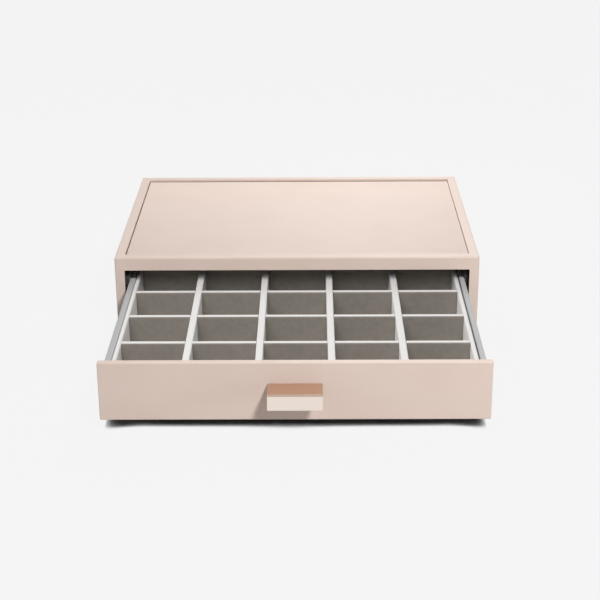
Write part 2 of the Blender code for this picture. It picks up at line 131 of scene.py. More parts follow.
# Colours, as linear red, green and blue
WHITE = (1.0, 1.0, 1.0)
BLUSH = (0.752, 0.610, 0.536)
BLUSH_DEEP = (0.710, 0.565, 0.492)
SUEDE_DEEP = (0.200, 0.180, 0.157)
SUEDE_PALE = (0.272, 0.249, 0.219)
SUEDE_TIPS = (0.749, 0.732, 0.715)
GREY_DEEP = (0.235, 0.235, 0.234)
GREY_PALE = (0.310, 0.311, 0.312)
GREY_TIPS = (0.505, 0.505, 0.508)
ROSE_GOLD = (0.910, 0.800, 0.720)
# Deeper rose gold, painted on the top plate as a darker reflection
ROSE_GOLD_DARK_REFLECTION = (0.815, 0.650, 0.530)
ROSE_GOLD_EDGE = (0.550, 0.330, 0.220)
# Brown painted shade for the gap round the board let into the top
GAP_SHADE = (0.170, 0.130, 0.108)
# Charcoal: the felt's own colour, and also the painted shade inside the bay
CHARCOAL = (0.030, 0.029, 0.028)
CHARCOAL_PALE = (0.060, 0.058, 0.055)
STEEL = (0.620, 0.610, 0.600)
PAPER = (0.914, 0.914, 0.914)

# Leatherette: the sizes of its pebbles, creases and clouds, and how far its relief rises
PEBBLE = 0.0008
PEBBLE_SMOOTHNESS = 0.6
CREASE = 0.0026
MOTTLE = 0.0500
LEATHER_RELIEF = 0.00006

# Leatherette: which clouds show, what clouds and pebbles add to the tint, pebbles and creases to
# the relief, and creases to the roughness
MOTTLE_LOW = 0.35
MOTTLE_HIGH = 0.75
MOTTLE_TINT = 0.5
PEBBLE_TINT = 0.25
PEBBLE_RELIEF = 0.7
CREASE_RELIEF = 0.6
LEATHER_ROUGHNESS = 0.46
CREASE_ROUGHNESS = 0.14

# Tints of the covering end past the wall that they lie on, from the first of these to the second
TINT_FADE_START = 0.0003
TINT_FADE_END = 0.0006

# Painted shade, near black, inside the case's bay: how far inside the opening it begins, and how
# far past the rear it ends
BAY_SHADE_SETBACK = 0.0030
BAY_SHADE_FADE = 0.0004
BAY_SHADE_REAR_START = 0.0005
BAY_SHADE_REAR_END = 0.0010

# Brown painted shade in the gap round the let-in board: how far below the board's top it begins
GAP_SETBACK = 0.0002
GAP_FADE = 0.0002

# Suede and felt: the sizes of fibres, patches of nap and clouds, and how far the relief rises
FIBRE = 0.0005
NAP_PATCH = 0.0060
NAP_CLOUD = 0.0350
SUEDE_RELIEF = 0.00018
FELT_RELIEF = 0.00015
FELT_STRETCH = (1, 2.5, 1)

# Suede: which patches show, and what fibres, patches and clouds add to the tone and the relief
PATCH_LOW = 0.3
PATCH_HIGH = 0.7
FIBRE_TONE = 0.4
PATCH_TONE = 0.35
CLOUD_TONE = 0.25
FIBRE_RELIEF = 0.6
PATCH_RELIEF = 0.8

# How far the surface is turned from the eye where the nap starts to pale, and where it is full
NAP_START = 0.07
NAP_FULL = 0.42

# How much the fibre tips stand up, which lets upright faces catch light from above
NAP_RISE = 0.6

# Darker reflection painted on the rose gold's top plate as a deeper colour: how far below the top
# of the pull it begins, and is full
PLATE_SHADE_START = 0.0022
PLATE_SHADE_FULL = 0.0008

# Rose gold plating: the brushing and smudges, which smudges show, and what both add
BRUSHING = 0.0004
BRUSHING_STRETCH = (0.02, 1, 1)
BRUSHING_RELIEF = 0.0000015
SMUDGE = 0.0120
SMUDGE_LOW = 0.4
SMUDGE_HIGH = 0.8
PLATING_ROUGHNESS = 0.15
BRUSHING_ROUGHNESS = 0.03
SMUDGE_ROUGHNESS = 0.04

# Screw steel and its turning marks
TURNING = 0.0003
TURNING_RELIEF = 0.00001
STEEL_ROUGHNESS = 0.28
TURNING_ROUGHNESS = 0.15

# Camera, worked out from the corners of the case and the drawer
CAMERA_PLACE = (0.01394, -1.49767, 0.58314)
CAMERA_PITCH = math.radians(21.957)
CAMERA_YAW = math.radians(-0.462)
CAMERA_ROLL = math.radians(-0.351)
CAMERA_LENS = 87.23
SENSOR_WIDTH = 36.0
CLIP_START = 0.05
CLIP_END = 60.0

# Lights: where they stand, how wide they are and how strong
LIGHT_AIM = (0.0, -0.12, 0.05)
KEY_AZIMUTH = math.radians(24)
KEY_ELEVATION = math.radians(45)
KEY_DISTANCE = 2.2
KEY_SIZE = 0.30
KEY_POWER = 35.2
TRAY_AZIMUTH = math.radians(-8)
TRAY_ELEVATION = math.radians(50)
TRAY_DISTANCE = 1.8
TRAY_SIZE = 1.5
TRAY_POWER = 29.5
TOP_PLACE = (-0.10, 1.20, 1.60)
TOP_SIZE = 0.50
TOP_POWER = 17.8
TOP_TINT = (1.0, 0.965, 0.925)
REAR_PLACE = (0.12, 0.42, 0.50)
REAR_SIZE = 0.40
REAR_POWER = 1.4
CARD_PLACE = (0.62, -0.78, 0.10)
CARD_SIZE = 0.30
CARD_POWER = 0.5

# Sky: how strong it is at the front, rear and left, and overhead for mirrored rays
SKY_FRONT = 0.61
SKY_REAR = 1.65
SKY_LEFT = 0.93
SKY_GLOSS = 0.8

# Paper floor: how much it scatters as it is seen, and towards the object, and how much it glows
FLOOR_HALF = 6.0
FLOOR_ALBEDO = 0.80
FLOOR_BOUNCE = 0.44
FLOOR_GLOW_SHARE = 0.97

# Painted shadow where the object covers the paper: what the shadowed paper scatters, how far off a
# cover still counts, the openness that is dark and the one that is clear, and how far round the
# object this is worked out
CONTACT_SHADOW_ALBEDO = 0.18
CONTACT_REACH = 0.15
CONTACT_SAMPLES = 48
CONTACT_DARK = 0.12
CONTACT_CLEAR = 0.24
CONTACT_MARGIN = 0.03

# Near the ends of the drawer front the painted shadow on the paper is darker: over what length,
# by how much, and how fast that stops at the end
CONTACT_ENDS = 0.04
CONTACT_END_SHARE = 0.65
CONTACT_END_FADE = 0.003


class Wired:
    """What a node puts out. Arithmetic on it adds Math nodes."""

    def __init__(self, tree, socket):
        self.tree = tree
        self.socket = socket

    def beside(self, output):
        """Another output of the same node."""
        return Wired(self.tree, self.socket.node.outputs[output])

    def maths(self, operation, *values):
        return self.tree.node("ShaderNodeMath", {"operation": operation}, dict(enumerate(values)))

    def __add__(self, other):
        return self.maths("ADD", self, other)

    def __radd__(self, other):
        return self.maths("ADD", other, self)

    def __sub__(self, other):
        return self.maths("SUBTRACT", self, other)

    def __rsub__(self, other):
        return self.maths("SUBTRACT", other, self)

    def __mul__(self, other):
        return self.maths("MULTIPLY", self, other)

    def __rmul__(self, other):
        return self.maths("MULTIPLY", other, self)

    def __abs__(self):
        return self.maths("ABSOLUTE", self)


class Tree:
    """A node tree that is wired by name."""

    def __init__(self, nodes_of):
        nodes_of.use_nodes = True
        self.nodes = nodes_of.node_tree.nodes
        self.links = nodes_of.node_tree.links

    def node(self, kind, settings=None, inputs=None, output=0):
        made = self.nodes.new(kind)
        for name, value in (settings or {}).items():
            setattr(made, name, value)
        for name, value in (inputs or {}).items():
            self.feed(made.inputs[name], value)
        return Wired(self, made.outputs[output]) if made.outputs else None

    def feed(self, socket, value):
        if isinstance(value, Wired):
            self.links.new(value.socket, socket)
        else:
            socket.default_value = value

    def place(self):
        return self.node("ShaderNodeTexCoord", output="Object")

    def noise(self, size, detail=3.0, roughness=0.5, stretch=(1, 1, 1)):
        """Cloudy values from 0 to 1 of that size in metres, drawn out along an axis by stretch."""
        scaled = self.node("ShaderNodeMapping", inputs={"Vector": self.place(), "Scale": stretch})
        inputs = {"Vector": scaled, "Scale": 1 / size, "Detail": detail, "Roughness": roughness}
        return self.node("ShaderNodeTexNoise", inputs=inputs)

    def parts(self, vector):
        """The three parts of a vector."""
        split = self.node("ShaderNodeSeparateXYZ", inputs={"Vector": vector})
        return [split.beside(axis) for axis in (X, Y, Z)]

    def lobe(self, part):
        """The square of a direction's part towards one side, and zero on the other side."""
        facing = part.maths("MAXIMUM", part, 0.0)
        return facing * facing

    def steps(self, value, low, high, to_low=0.0, to_high=1.0):
        """From to_low to to_high, smoothly, as the value goes from low to high."""
        inputs = {
            "Value": value, "From Min": low, "From Max": high, "To Min": to_low, "To Max": to_high,
        }
        return self.node("ShaderNodeMapRange", {"interpolation_type": "SMOOTHSTEP"}, inputs)

    def until(self, value, place):
        """One up to a wall's place and zero past it."""
        return self.steps(value, place + TINT_FADE_START, place + TINT_FADE_END, 1.0, 0.0)

    def blend(self, share, first, second):
        """A colour between two, each of them plain or wired in."""
        first, second = [
            colour if isinstance(colour, Wired) else (*colour, 1.0) for colour in (first, second)
        ]
        inputs = {0: share, 6: first, 7: second}
        return self.node("ShaderNodeMix", {"data_type": "RGBA"}, inputs, 2)

    def bump(self, height, distance):
        return self.node("ShaderNodeBump", inputs={"Height": height, "Distance": distance})

    def diffuse(self, colour, **inputs):
        """A matt shader of a plain or a wired colour."""
        if not isinstance(colour, Wired):
            colour = (*colour, 1.0)
        return self.node("ShaderNodeBsdfDiffuse", inputs={"Color": colour, **inputs})

    def layered(self, share, under, over):
        """A shader that gives way to another by share."""
        return self.node("ShaderNodeMixShader", inputs={0: share, 1: under, 2: over})


class Finish(Tree):
    """A material with one Principled shader, whose sockets are set by their names."""

    def __init__(self, name, constants):
        self.material = bpy.data.materials.new(name)
        super().__init__(self.material)
        self.shader = self.nodes["Principled BSDF"]
        for socket, value in constants.items():
            self.feed(self.shader.inputs[socket], value)

    def drive(self, **links):
        for socket, value in links.items():
            self.feed(self.shader.inputs[socket.replace("_", " ")], value)

    def glaze(self, tint, start, full):
        """A pale sheen that takes over as the surface turns away from the eye."""
        facing = self.node("ShaderNodeNewGeometry", output="Normal")
        rise = {0: facing, 1: (0, 0, NAP_RISE)}
        risen = self.node("ShaderNodeVectorMath", {"operation": "ADD"}, rise)
        upright = self.node("ShaderNodeVectorMath", {"operation": "NORMALIZE"}, {0: risen})
        turned = self.node("ShaderNodeLayerWeight", inputs={"Blend": 0.5}, output="Facing")
        own = Wired(self, self.shader.outputs["BSDF"])
        tips = self.diffuse(tint, Normal=upright)
        mixed = self.layered(self.steps(turned, start, full), own, tips)
        self.feed(self.nodes["Material Output"].inputs["Surface"], mixed)


def leatherette():
    """Blush imitation leather: fine pebbles, faint creases and a cloudy tint.

    On the case, shade is painted in: near black inside the bay, and brown in the gap round the
    board in the top.
    """
    made = Finish("blush_leatherette", {"IOR": 1.45})
    pebbles = made.node(
        "ShaderNodeTexVoronoi",
        {"feature": "SMOOTH_F1"},
        {"Vector": made.place(), "Scale": 1 / PEBBLE, "Smoothness": PEBBLE_SMOOTHNESS},
    )
    creases = made.noise(CREASE, detail=4.0, roughness=0.6)
    clouds = made.steps(made.noise(MOTTLE, detail=2.0), MOTTLE_LOW, MOTTLE_HIGH)
    tint = clouds * MOTTLE_TINT + pebbles * PEBBLE_TINT
    relief = pebbles * PEBBLE_RELIEF + creases * CREASE_RELIEF

    across, depth, level = made.parts(made.place())
    bay_low, bay_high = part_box("bottom_panel")
    rail_low, rail_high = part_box("top_rail")
    between_sides = made.until(abs(across), bay_high.x)

    bay_shade_start = bay_low.y + BAY_SHADE_SETBACK
    rear_start = bay_high.y + BAY_SHADE_REAR_START
    rear_end = bay_high.y + BAY_SHADE_REAR_END
    # Painted shade: the inside of the bay is coloured near black, standing in for its shadow
    bay_shade = between_sides * made.until(level, rail_low.z)
    bay_shade = bay_shade * made.steps(depth, bay_shade_start, bay_shade_start + BAY_SHADE_FADE)
    bay_shade = bay_shade * made.steps(depth, rear_start, rear_end, 1.0, 0.0)

    well_front = rail_high.y
    well_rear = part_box("back_panel")[0].y
    well_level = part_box("top_panel")[1].z - GAP_SETBACK
    # Painted shade: brown in the gap round the board let into the top
    gap = between_sides * made.steps(level, well_level - GAP_FADE, well_level, 1.0, 0.0)
    gap = gap * made.steps(depth, well_front - TINT_FADE_END, well_front - TINT_FADE_START)
    gap = gap * made.until(depth, well_rear)

    covering = made.blend(gap, made.blend(tint, BLUSH, BLUSH_DEEP), GAP_SHADE)
    made.drive(
        Base_Color=made.blend(bay_shade, covering, CHARCOAL),
        Roughness=LEATHER_ROUGHNESS + creases * CREASE_ROUGHNESS,
        Normal=made.bump(relief, LEATHER_RELIEF),
    )
    return made.material


def suede(name, deep, pale, tips):
    """Brushed suede cloth: short fibres, a nap in patches, and pale fibre tips at low angles."""
    made = Finish(name, {"Roughness": 0.95, "Specular IOR Level": 0.15})
    fibres = made.noise(FIBRE, detail=2.0)
    patches = made.noise(NAP_PATCH, detail=3.0, roughness=0.6)
    clouds = made.noise(NAP_CLOUD, detail=1.0)
    shown = made.steps(patches, PATCH_LOW, PATCH_HIGH)
    tone = fibres * FIBRE_TONE + shown * PATCH_TONE + clouds * CLOUD_TONE
    relief = fibres * FIBRE_RELIEF + patches * PATCH_RELIEF
    made.drive(Base_Color=made.blend(tone, deep, pale), Normal=made.bump(relief, SUEDE_RELIEF))
    made.glaze(tips, NAP_START, NAP_FULL)
    return made.material


def felt():
    """Dense charcoal felt."""
    made = Finish("charcoal_felt", {"Roughness": 0.95, "Sheen Weight": 0.3, "Sheen Roughness": 0.5})
    fibres = made.noise(FIBRE, detail=4.0, roughness=0.7, stretch=FELT_STRETCH)
    made.drive(
        Base_Color=made.blend(fibres, CHARCOAL, CHARCOAL_PALE),
        Normal=made.bump(fibres, FELT_RELIEF),
    )
    return made.material


def rose_gold():
    """Polished rose gold plating, faintly brushed along the pull's width.

    On top it is painted a deeper colour, as a darker reflection.
    """
    made = Finish("rose_gold", {"Metallic": 1.0, "Specular Tint": (*ROSE_GOLD_EDGE, 1.0)})
    level = made.parts(made.place())[Z]
    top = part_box("handle")[1].z
    # Painted darker reflection: a deeper colour on the top plate
    plate_shade = made.steps(level, top - PLATE_SHADE_START, top - PLATE_SHADE_FULL)
    brushing = made.noise(BRUSHING, detail=2.0, stretch=BRUSHING_STRETCH)
    smudges = made.steps(made.noise(SMUDGE, detail=3.0), SMUDGE_LOW, SMUDGE_HIGH)
    roughness = PLATING_ROUGHNESS + brushing * BRUSHING_ROUGHNESS + smudges * SMUDGE_ROUGHNESS
    made.drive(
        Base_Color=made.blend(plate_shade, ROSE_GOLD, ROSE_GOLD_DARK_REFLECTION),
        Roughness=roughness,
        Normal=made.bump(brushing, BRUSHING_RELIEF),
    )
    return made.material


def plated_steel():
    """Plated screw steel with turning marks."""
    made = Finish("screw_steel", {"Metallic": 1.0, "Base Color": (*STEEL, 1.0)})
    turning = made.noise(TURNING, detail=2.0)
    made.drive(
        Roughness=STEEL_ROUGHNESS + turning * TURNING_ROUGHNESS,
        Normal=made.bump(turning, TURNING_RELIEF),
    )
    return made.material


def alone(piece):
    """Make a piece the only one that is selected."""
    bpy.ops.object.select_all(action="DESELECT")
    piece.select_set(True)
    bpy.context.view_layer.objects.active = piece


def block(name, low, high):
    """A box between two corners, with its place in its mesh."""
    bpy.ops.object.select_all(action="DESELECT")
    low_corner = Vector(low)
    high_corner = Vector(high)
    bpy.ops.mesh.primitive_cube_add(
        size=1,
        location=(low_corner + high_corner) / 2,
        scale=high_corner - low_corner,
    )
    made = bpy.context.active_object
    made.name = name
    made.data.name = name
    bpy.ops.object.transform_apply(location=True, rotation=True, scale=True)
    return made


def near(value, place):
    return abs(value - place) < SAME_PLACE


def both_at(ends, axis, *places):
    """Whether both ends of an edge lie at one of these places along an axis."""
    return any(all(near(end[axis], place) for end in ends) for place in places)


def pick_edges(piece, wanted):
    """Open a piece in edit mode and select the edges whose two ends a rule accepts."""
    alone(piece)
    bpy.ops.object.mode_set(mode="EDIT")
    bpy.ops.mesh.select_mode(type="EDGE")
    bpy.ops.mesh.select_all(action="DESELECT")
    shape = bmesh.from_edit_mesh(piece.data)
    for edge in shape.edges:
        edge.select_set(wanted([corner.co for corner in edge.verts]))
    bmesh.update_edit_mesh(piece.data)


def round_edges(piece, wanted, radius, segments):
    """Round the edges whose two ends a rule accepts."""
    pick_edges(piece, wanted)
    bpy.ops.mesh.bevel(offset=radius, segments=segments, affect="EDGES", clamp_overlap=True)
    bpy.ops.object.mode_set(mode="OBJECT")


def draw_down(piece, depth, drop):
    """Extrude the free edge at that depth straight down."""
    pick_edges(piece, lambda ends: both_at(ends, Y, depth))
    bpy.ops.mesh.extrude_region_move(TRANSFORM_OT_translate={"value": (0, 0, -drop)})
    bpy.ops.object.mode_set(mode="OBJECT")


def use_modifier(piece, kind, **settings):
    """Add a modifier and apply it."""
    alone(piece)
    added = piece.modifiers.new(kind.lower(), kind)
    for name, value in settings.items():
        setattr(added, name, value)
    bpy.ops.object.modifier_apply(modifier=added.name)


def carve(piece, cutter):
    """Take a cutter's shape out of a piece and remove the cutter."""
    use_modifier(piece, "BOOLEAN", operation="DIFFERENCE", solver="EXACT", object=cutter)
    bpy.data.objects.remove(cutter, do_unlink=True)


def drill(piece, centre, radius, depth):
    """Bore a round hole along Y."""
    bpy.ops.object.select_all(action="DESELECT")
    bpy.ops.mesh.primitive_cylinder_add(
        vertices=BORE_SIDES,
        radius=radius,
        depth=depth,
        location=centre,
        rotation=(math.pi / 2, 0, 0),
    )
    carve(piece, bpy.context.active_object)


def screw_centres():
    """The middles of the two screws that hold the pull."""
    boxes = [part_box(screw) for screw in ("handle_screw_left", "handle_screw_right")]
    return [(low + high) / 2 for low, high in boxes]


def copied(piece, name, shift):
    """A copy with its own mesh, moved by shift."""
    alone(piece)
    bpy.ops.object.duplicate()
    twin = bpy.context.active_object
    twin.name = name
    twin.data.name = name
    bpy.ops.transform.translate(value=shift)
    bpy.ops.object.transform_apply(location=True, rotation=False, scale=False)
    return twin


def mirrored(piece, name):
    """A copy mirrored to the other side of the middle plane."""
    twin = copied(piece, name, (0, 0, 0))
    twin.scale = (-1, 1, 1)
    bpy.ops.object.transform_apply(location=False, rotation=False, scale=True)
    bpy.ops.object.mode_set(mode="EDIT")
    bpy.ops.mesh.select_all(action="SELECT")
    bpy.ops.mesh.remove_doubles(threshold=MERGE_DISTANCE)
    bpy.ops.mesh.normals_make_consistent(inside=False)
    bpy.ops.object.mode_set(mode="OBJECT")
    return twin


def paint(piece, material):
    """Give a piece one material in place of what it had."""
    piece.data.materials.clear()
    piece.data.materials.append(material)


def dress(piece, material, slot, body, *nodes):
    """Merge what lies together, then shade, cover and place a finished piece."""
    alone(piece)
    bpy.ops.object.mode_set(mode="EDIT")
    bpy.ops.mesh.select_all(action="SELECT")
    bpy.ops.mesh.remove_doubles(threshold=MERGE_DISTANCE)
    bpy.ops.object.mode_set(mode="OBJECT")
    bpy.ops.object.shade_smooth_by_angle(angle=SMOOTH_ANGLE)
    use_modifier(piece, "WEIGHTED_NORMAL", keep_sharp=True)
    paint(piece, material)
    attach(piece, body)
    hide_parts(*nodes)


def refinish(material, slot, *nodes):
    """Give CAD nodes that stay a better material."""
    for name in nodes:
        node = frame["nodes"][name]
        paint(node, material)


def every_edge(ends):
    return True


def long_top_edges(low, high):
    """A rule for the two long edges along the top of a board."""
    along = X if high.x - low.x > high.y - low.y else Y
    return lambda ends: both_at(ends, Z, high.z) and not near(ends[0][along], ends[1][along])


def covered_board(name, node, edge, segments, rule=every_edge):
    """A board in a node's place, rounded along the edges that a rule accepts."""
    low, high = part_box(node)
    made = block(name, low, high)
    round_edges(made, rule, edge, segments)
    return made


def seam_cutter(start, end):
    """A thin blade along a seam, from corner to corner of the rim."""
    run = end - start
    bpy.ops.object.select_all(action="DESELECT")
    bpy.ops.mesh.primitive_cube_add(
        size=1,
        location=(start + end) / 2,
        rotation=(0, 0, math.atan2(run.y, run.x)),
        scale=(run.length + OVERRUN, SEAM_WIDTH, 2 * SEAM_DEPTH),
    )
    return bpy.context.active_object


def case_wrap(cover):
    """The covering of the sides, front rail and back, with the opening and the well of the top."""
    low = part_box("left_side")[0]
    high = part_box("right_side")[1]
    bay_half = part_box("right_side")[0].x
    rail_low, rail_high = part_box("top_rail")
    rim_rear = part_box("back_panel")[0].y
    bay_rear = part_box("bottom_panel")[1].y + JOINT_GAP
    wrap = block("case_wrap", low, high)
    bay_low = (-bay_half, low.y - OVERRUN, low.z - OVERRUN)
    carve(wrap, block("bay_cut", bay_low, (bay_half, bay_rear, rail_low.z)))
    well_low = (-bay_half, rail_high.y, rail_low.z - OVERRUN)
    carve(wrap, block("well_cut", well_low, (bay_half, rim_rear, high.z + OVERRUN)))

    def outer(ends):
        at_side = both_at(ends, X, low.x, high.x)
        at_front_or_rear = both_at(ends, Y, low.y, high.y)
        at_top_or_foot = both_at(ends, Z, low.z, high.z)
        return at_side + at_front_or_rear + at_top_or_foot > 1

    def rim_or_opening(ends):
        at_bay = both_at(ends, X, -bay_half, bay_half)
        in_front = both_at(ends, Y, low.y) and (at_bay or both_at(ends, Z, rail_low.z))
        at_well = at_bay or both_at(ends, Y, rail_high.y, rim_rear)
        return in_front or (both_at(ends, Z, high.z) and at_well)

    round_edges(wrap, outer, CASE_EDGE, ROUND_SEGMENTS)
    round_edges(wrap, rim_or_opening, OPENING_EDGE, FINE_SEGMENTS)
    for side in (-1, 1):
        inner_corner = Vector((side * bay_half, rim_rear, high.z))
        outer_corner = Vector((side * high.x, high.y, high.z))
        carve(wrap, seam_cutter(inner_corner, outer_corner))
    covered = ("left_side", "right_side", "top_rail", "back_panel")
    dress(wrap, cover, "blush_leatherette", "case", *covered)


def case_boards(cover):
    """The board let into the top and the one that the drawer runs over."""
    low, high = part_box("top_panel")
    gap_left = Vector((RECESS_GAP_LEFT, 0, 0))
    gap_rear = Vector((0, RECESS_GAP_REAR, 0))
    top = block("top_board", low + gap_left, high - gap_rear)

    def loose(ends):
        return both_at(ends, Z, high.z) and not both_at(ends, X, high.x)

    def tight(ends):
        return both_at(ends, Z, high.z) and both_at(ends, X, high.x)

    round_edges(top, loose, PANEL_EDGE, FINE_SEGMENTS)
    round_edges(top, tight, PANEL_TIGHT_EDGE, FINE_SEGMENTS)
    dress(top, cover, "blush_leatherette", "case", "top_panel")
    bottom = covered_board("bottom_board", "bottom_panel", PANEL_EDGE, FINE_SEGMENTS)
    dress(bottom, cover, "blush_leatherette", "case", "bottom_panel")


def groove_cutter(name):
    """The space of the drawer's bottom board with a joint gap round it, open to the rear."""
    low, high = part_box("drawer_bottom")
    gap = Vector((JOINT_GAP, JOINT_GAP, JOINT_GAP))
    return block(name, low - gap, high + gap + Vector((0, OVERRUN, 0)))


def front_board(cover):
    """The drawer front, grooved for the bottom and bored for the screws of the pull."""
    low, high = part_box("drawer_front")
    made = covered_board("front_board", "drawer_front", FRONT_EDGE, ROUND_SEGMENTS)
    carve(made, groove_cutter("front_groove"))
    middle = (low.y + high.y) / 2
    bore_middle = high.y + (OVERRUN - COUNTERBORE_DEPTH) / 2
    for centre in screw_centres():
        drill(made, (centre.x, middle, centre.z), SCREW_HOLE, high.y - low.y + 2 * OVERRUN)
        bore_centre = (centre.x, bore_middle, centre.z)
        drill(made, bore_centre, COUNTERBORE, COUNTERBORE_DEPTH + OVERRUN)
    dress(made, cover, "blush_leatherette", "drawer", "drawer_front")


def drawer_walls(cloth):
    """The two sides of the drawer, rounded on top and grooved inside for the bottom."""
    rule = long_top_edges(*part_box("right_drawer_side"))
    right = covered_board("right_wall", "right_drawer_side", SIDE_TOP_EDGE, ROUND_SEGMENTS, rule)
    carve(right, groove_cutter("side_groove"))
    left = mirrored(right, "left_wall")
    dress(right, cloth, "grey_suede", "drawer", "right_drawer_side")
    dress(left, cloth, "grey_suede", "drawer", "left_drawer_side")


def tray_walls(cloth):
    """The four walls of the tray, padded and round along the top."""
    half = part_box("tray_right_wall")[1].x - TRAY_GAP
    for side in ("front", "rear", "left", "right"):
        node = "tray_%s_wall" % side
        low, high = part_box(node)
        wall_low = (max(low.x, -half), low.y, low.z)
        wall_high = (min(high.x, half), high.y, high.z)
        wall = block("tray_wall_" + side, wall_low, wall_high)
        round_edges(wall, long_top_edges(low, high), TRAY_WALL_EDGE, ROUND_SEGMENTS)
        dress(wall, cloth, "tray_suede", "drawer", node)


def first_divider(name, node, edge):
    """A divider without its slots, round along its top."""
    return covered_board(name, node, edge, ROUND_SEGMENTS, long_top_edges(*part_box(node)))


def dividers(cloth):
    """Long dividers slotted from below, over cross dividers that are slotted from above."""
    long_boxes = [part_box("long_divider_%d" % number) for number in range(1, 5)]
    cross_boxes = [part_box("cross_divider_%d" % number) for number in range(1, 4)]
    low, high = long_boxes[0]
    middle = (low.z + high.z) / 2
    first = first_divider("long_board_1", "long_divider_1", LONG_DIVIDER_EDGE)
    for near_side, far_side in cross_boxes:
        slot_low = (low.x - OVERRUN, near_side.y - SLOT_GAP, low.z - OVERRUN)
        slot_high = (high.x + OVERRUN, far_side.y + SLOT_GAP, middle + SLOT_GAP)
        carve(first, block("long_slot", slot_low, slot_high))
    long_boards = [first] + [
        copied(first, "long_board_%d" % number, (box[0].x - low.x, 0, 0))
        for number, box in enumerate(long_boxes[1:], 2)
    ]
    low, high = cross_boxes[0]
    first = first_divider("cross_board_1", "cross_divider_1", CROSS_DIVIDER_EDGE)
    for left_side, right_side in long_boxes:
        slot_low = (left_side.x - SLOT_GAP, low.y - OVERRUN, middle - SLOT_GAP)
        slot_high = (right_side.x + SLOT_GAP, high.y + OVERRUN, high.z + OVERRUN)
        carve(first, block("cross_slot", slot_low, slot_high))
    cross_boards = [first] + [
        copied(first, "cross_board_%d" % number, (0, box[0].y - low.y, 0))
        for number, box in enumerate(cross_boxes[1:], 2)
    ]
    for number, made in enumerate(long_boards, 1):
        dress(made, cloth, "tray_suede", "drawer", "long_divider_%d" % number)
    for number, made in enumerate(cross_boards, 1):
        dress(made, cloth, "tray_suede", "drawer", "cross_divider_%d" % number)


def sheet_pull(metal):
    """A strip bent down at both ends and given its thickness, with two holes in its flange."""
    low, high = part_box("handle")
    half_sheet = PULL_SHEET / 2
    lip_depth = low.y + half_sheet
    flange_depth = high.y - half_sheet
    plate_level = high.z - half_sheet
    bpy.ops.object.select_all(action="DESELECT")
    middle = ((low.x + high.x) / 2, (lip_depth + flange_depth) / 2, plate_level)
    bpy.ops.mesh.primitive_plane_add(size=1, location=middle)
    pull = bpy.context.active_object
    pull.name = "sheet_pull"
    pull.scale = (high.x - low.x, flange_depth - lip_depth, 1)
    bpy.ops.object.transform_apply(location=True, rotation=True, scale=True)
    draw_down(pull, lip_depth, PULL_LIP - half_sheet)
    draw_down(pull, flange_depth, plate_level - low.z)

    def bends(ends):
        return both_at(ends, Z, plate_level) and not near(ends[0].x, ends[1].x)

    round_edges(pull, bends, PULL_BEND, PULL_BEND_SEGMENTS)
    use_modifier(pull, "SOLIDIFY", thickness=PULL_SHEET, offset=0, use_even_offset=True)
    use_modifier(
        pull, "BEVEL", width=PULL_EDGE, segments=PULL_EDGE_SEGMENTS,
        limit_method="ANGLE", angle_limit=SMOOTH_ANGLE,
    )
    for centre in screw_centres():
        drill(pull, (centre.x, flange_depth, centre.z), SCREW_HOLE, PULL_SHEET + OVERRUN)
    dress(pull, metal, "rose_gold", "drawer", "handle")


def camera():
    """The camera at the photo's angle."""
    bpy.ops.object.camera_add()
    made = bpy.context.active_object
    made.name = "photo_camera"
    turned = (
        Matrix.Rotation(-CAMERA_YAW, 4, "Z")
        @ Matrix.Rotation(math.pi / 2 - CAMERA_PITCH, 4, "X")
        @ Matrix.Rotation(CAMERA_ROLL, 4, "Z")
    )
    made.matrix_world = Matrix.Translation(CAMERA_PLACE) @ turned
    made.data.sensor_width = SENSOR_WIDTH
    made.data.lens = CAMERA_LENS
    made.data.clip_start = CLIP_START
    made.data.clip_end = CLIP_END
    bpy.context.scene.camera = made


def soft_box(name, place, size, power, tint=WHITE):
    """A round soft box that points at the drawer and stays out of the picture."""
    bpy.ops.object.light_add(type="AREA", location=place)
    lamp = bpy.context.active_object
    lamp.name = name
    lamp.rotation_euler = (Vector(place) - Vector(LIGHT_AIM)).to_track_quat("Z", "Y").to_euler()
    lamp.data.shape = "DISK"
    lamp.data.size = size
    lamp.data.energy = power
    lamp.data.color = tint
    lamp.visible_camera = False


def light_place(azimuth, elevation, distance):
    """A place seen from the drawer: azimuth goes from the camera's side to the right."""
    towards = Vector((
        math.sin(azimuth) * math.cos(elevation),
        -math.cos(azimuth) * math.cos(elevation),
        math.sin(elevation),
    ))
    return Vector(LIGHT_AIM) + towards * distance


def studio_lights():
    """A key light at the right, one each for tray and top, a weak rear one and a low card."""
    key_place = light_place(KEY_AZIMUTH, KEY_ELEVATION, KEY_DISTANCE)
    tray_place = light_place(TRAY_AZIMUTH, TRAY_ELEVATION, TRAY_DISTANCE)
    soft_box("key_light", key_place, KEY_SIZE, KEY_POWER)
    soft_box("tray_light", tray_place, TRAY_SIZE, TRAY_POWER)
    soft_box("top_light", TOP_PLACE, TOP_SIZE, TOP_POWER, TOP_TINT)
    soft_box("rear_light", REAR_PLACE, REAR_SIZE, REAR_POWER)
    soft_box("card_light", CARD_PLACE, CARD_SIZE, CARD_POWER)


def aim_light(lamp_name, pieces, link_state):
    """Light these pieces alone with a lamp, or leave them out of its light."""
    group = bpy.data.collections.new("for_" + lamp_name)
    for piece in pieces:
        group.objects.link(piece)
    for entry in group.collection_objects:
        entry.light_linking.link_state = link_state
    bpy.data.objects[lamp_name].light_linking.receiver_collection = group


